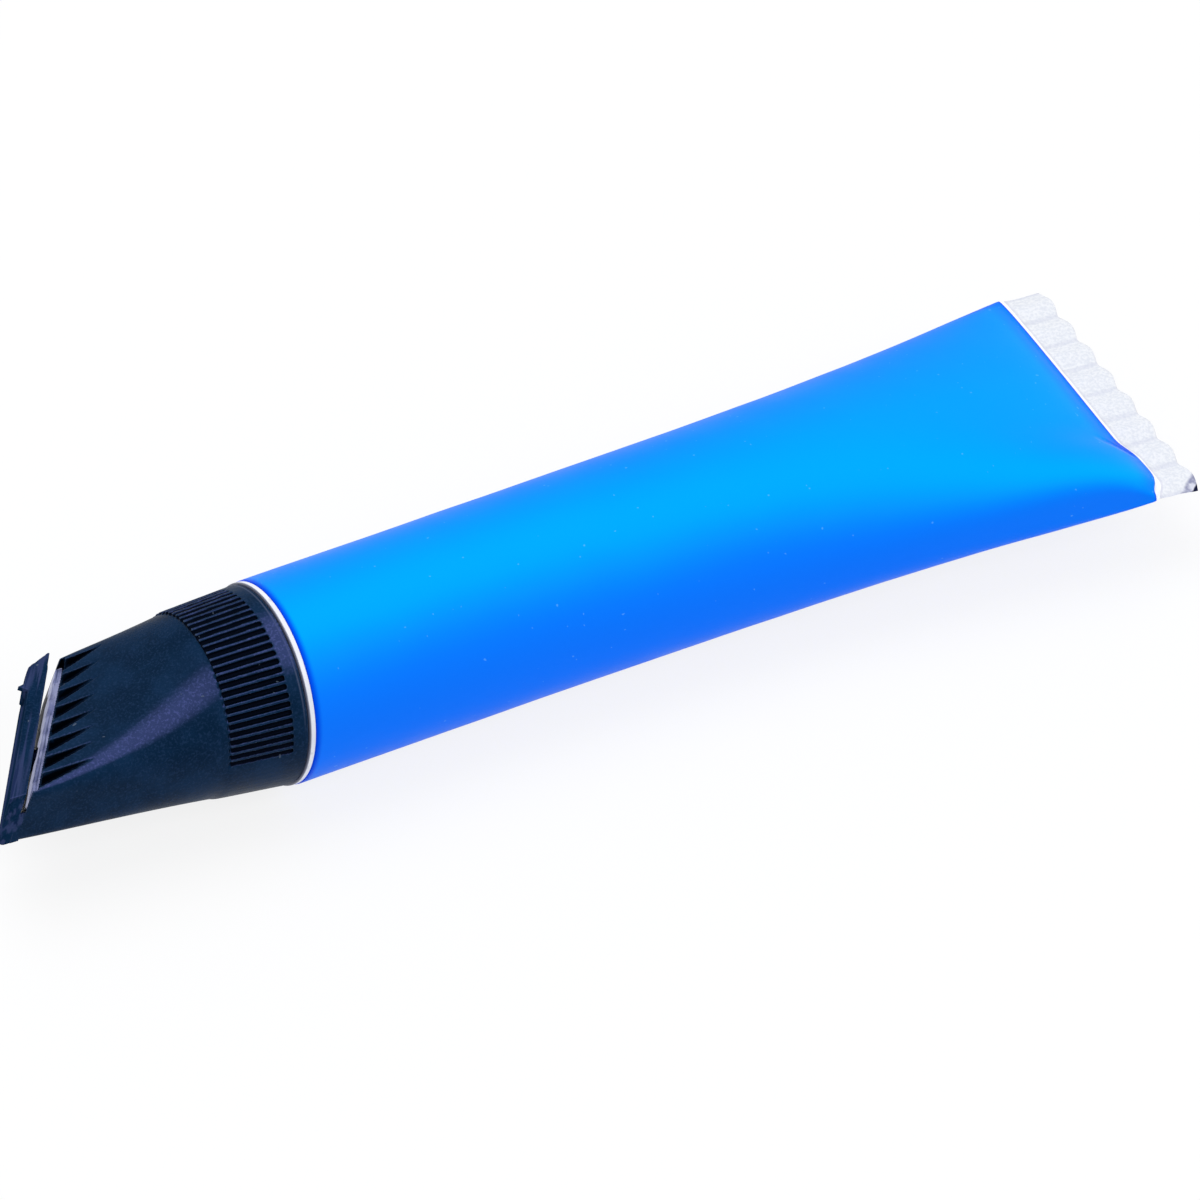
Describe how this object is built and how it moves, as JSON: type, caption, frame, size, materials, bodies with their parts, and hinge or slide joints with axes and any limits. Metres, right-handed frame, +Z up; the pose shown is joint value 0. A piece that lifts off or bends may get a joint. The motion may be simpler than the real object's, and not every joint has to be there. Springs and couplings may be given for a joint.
{
  "type": "glue tube",
  "caption": "Soft blue glue tube with a white crimped tail, a white head and a black screw-on spreader cap with comb grooves and a hinged closing strip.",
  "frame": {"origin": "centre of the footprint, on the surface the tube rests on", "axes": "+X from the cap to the crimped tail, +Z up, as the tube lies with its crimp level"},
  "size_m": [0.1797, 0.044, 0.0279],
  "materials": {
    "printed_sleeve": "satin",
    "white_head": "satin",
    "black_cap": "matte"
  },
  "bodies": {
    "tube": {"tube_sleeve": "printed_sleeve", "shoulder_neck": "white_head"},
    "cap": {"spreader_cap": "black_cap"},
    "bar": {"closing_bar": "black_cap"}
  },
  "joints": [
    {"name": "cap_off", "type": "slide", "parent": "tube", "child": "cap", "axis": [-0.999, 0, 0.0454], "range_m": [0, 0.015]},
    {"name": "bar_hinge", "type": "hinge", "parent": "cap", "child": "bar", "pos_m": [-0.08683, -0.01645, 0.0142], "axis": [0.2243, 0, 0.9745], "range_deg": [-1.5, 110]}
  ]
}
